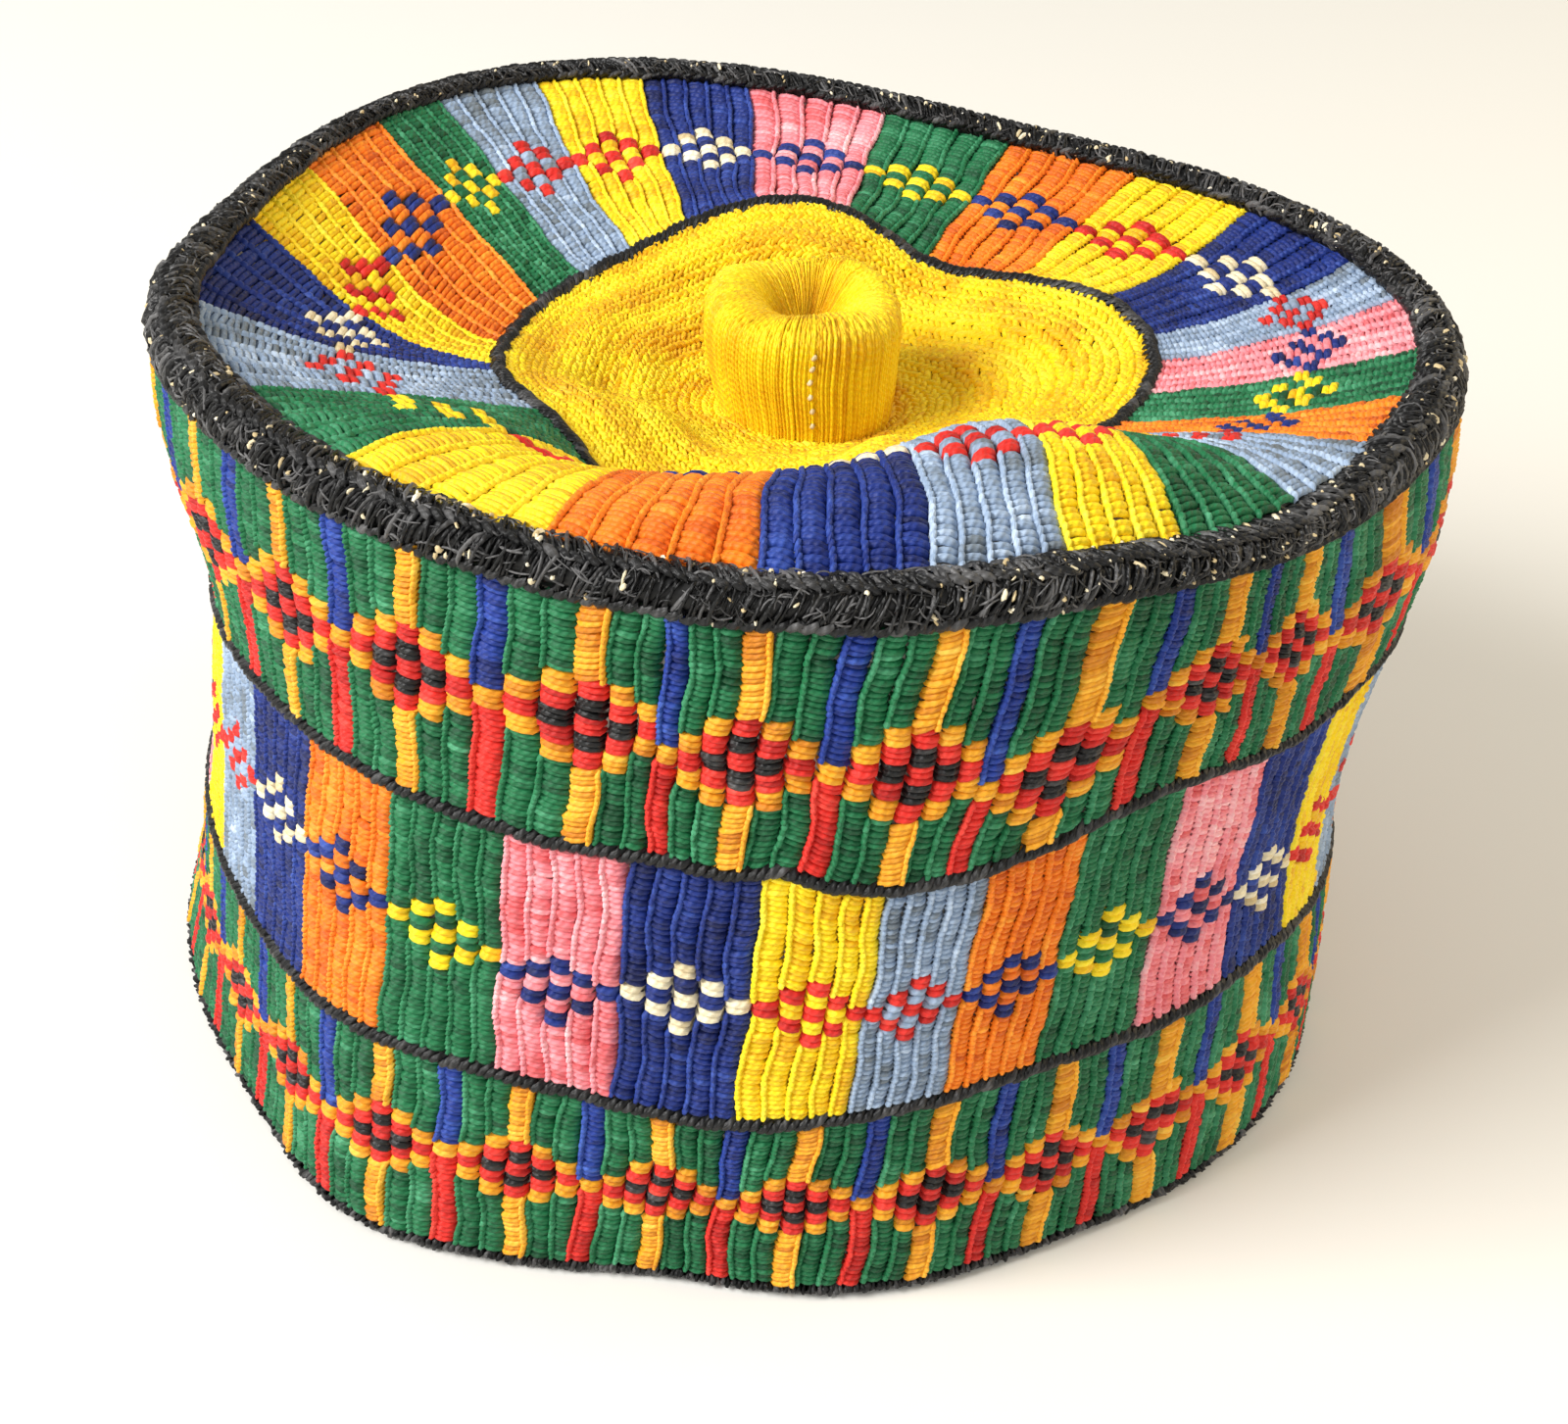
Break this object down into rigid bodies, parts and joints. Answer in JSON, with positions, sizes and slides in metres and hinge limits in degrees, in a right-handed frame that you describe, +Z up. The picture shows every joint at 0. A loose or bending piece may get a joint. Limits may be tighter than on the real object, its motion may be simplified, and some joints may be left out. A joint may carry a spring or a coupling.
{
  "type": "embroidered pillbox cap",
  "caption": "Brimless straight-sided embroidered cap with banded walls, a thick rolled rim, a sunken blocked crown and a wrapped knob at its centre.",
  "frame": {"origin": "on the ground at the middle of the head opening, on the axis of the cap", "axes": "+Z up through the crown; -Y is the front of the cap and +X its left-hand side as worn"},
  "size_m": [0.1928, 0.1928, 0.1196],
  "materials": {
    "lining_cloth": "plain woven cotton",
    "interlining": "stiff cotton canvas",
    "ground_cloth": "plain woven cotton",
    "black_wool": "dense slanted wool stitches, slightly fuzzy",
    "red_wool": "dense slanted wool stitches, slightly fuzzy",
    "amber_wool": "dense slanted wool stitches, slightly fuzzy",
    "blue_wool": "dense slanted wool stitches, slightly fuzzy",
    "green_wool": "dense slanted wool stitches, slightly fuzzy",
    "cream_wool": "dense slanted wool stitches, slightly fuzzy",
    "navy_wool": "dense slanted wool stitches, slightly fuzzy",
    "yellow_wool": "dense slanted wool stitches, slightly fuzzy",
    "orange_wool": "dense slanted wool stitches, slightly fuzzy",
    "pink_wool": "dense slanted wool stitches, slightly fuzzy",
    "grey_wool": "dense slanted wool stitches, slightly fuzzy",
    "knob_stuffing": "packed wool wadding"
  },
  "bodies": {
    "root": {"bottom_edging": "black_wool", "crown_centre_disc": "yellow_wool", "crown_divider_cord": "black_wool", "crown_green_blocks": "green_wool", "crown_grey_blocks": "grey_wool", "crown_ground_cloth": "ground_cloth", "crown_lining": "lining_cloth", "crown_navy_blocks": "navy_wool", "crown_orange_blocks": "orange_wool", "crown_pink_blocks": "pink_wool", "crown_yellow_blocks": "yellow_wool", "knob_core": "knob_stuffing", "knob_front_knots": "yellow_wool", "knob_wrap": "yellow_wool", "lower_amber_bars": "amber_wool", "lower_blue_bars": "blue_wool", "lower_diamonds": "red_wool", "lower_divider_cord": "black_wool", "lower_green_ribs": "green_wool", "lower_red_bars": "red_wool", "middle_cream_lattice": "cream_wool", "middle_green_blocks": "green_wool", "middle_grey_blocks": "grey_wool", "middle_navy_blocks": "navy_wool", "middle_navy_lattice": "navy_wool", "middle_orange_blocks": "orange_wool", "middle_pink_blocks": "pink_wool", "middle_red_lattice": "red_wool", "middle_yellow_blocks": "yellow_wool", "middle_yellow_lattice": "yellow_wool", "rim_binding": "black_wool", "rim_seam_allowance": "ground_cloth", "upper_amber_bars": "amber_wool", "upper_blue_bars": "blue_wool", "upper_diamonds": "red_wool", "upper_divider_cord": "black_wool", "upper_green_ribs": "green_wool", "upper_red_bars": "red_wool", "wall_ground_cloth": "ground_cloth", "wall_interlining": "interlining", "wall_lining": "lining_cloth"}
  },
  "joints": []
}
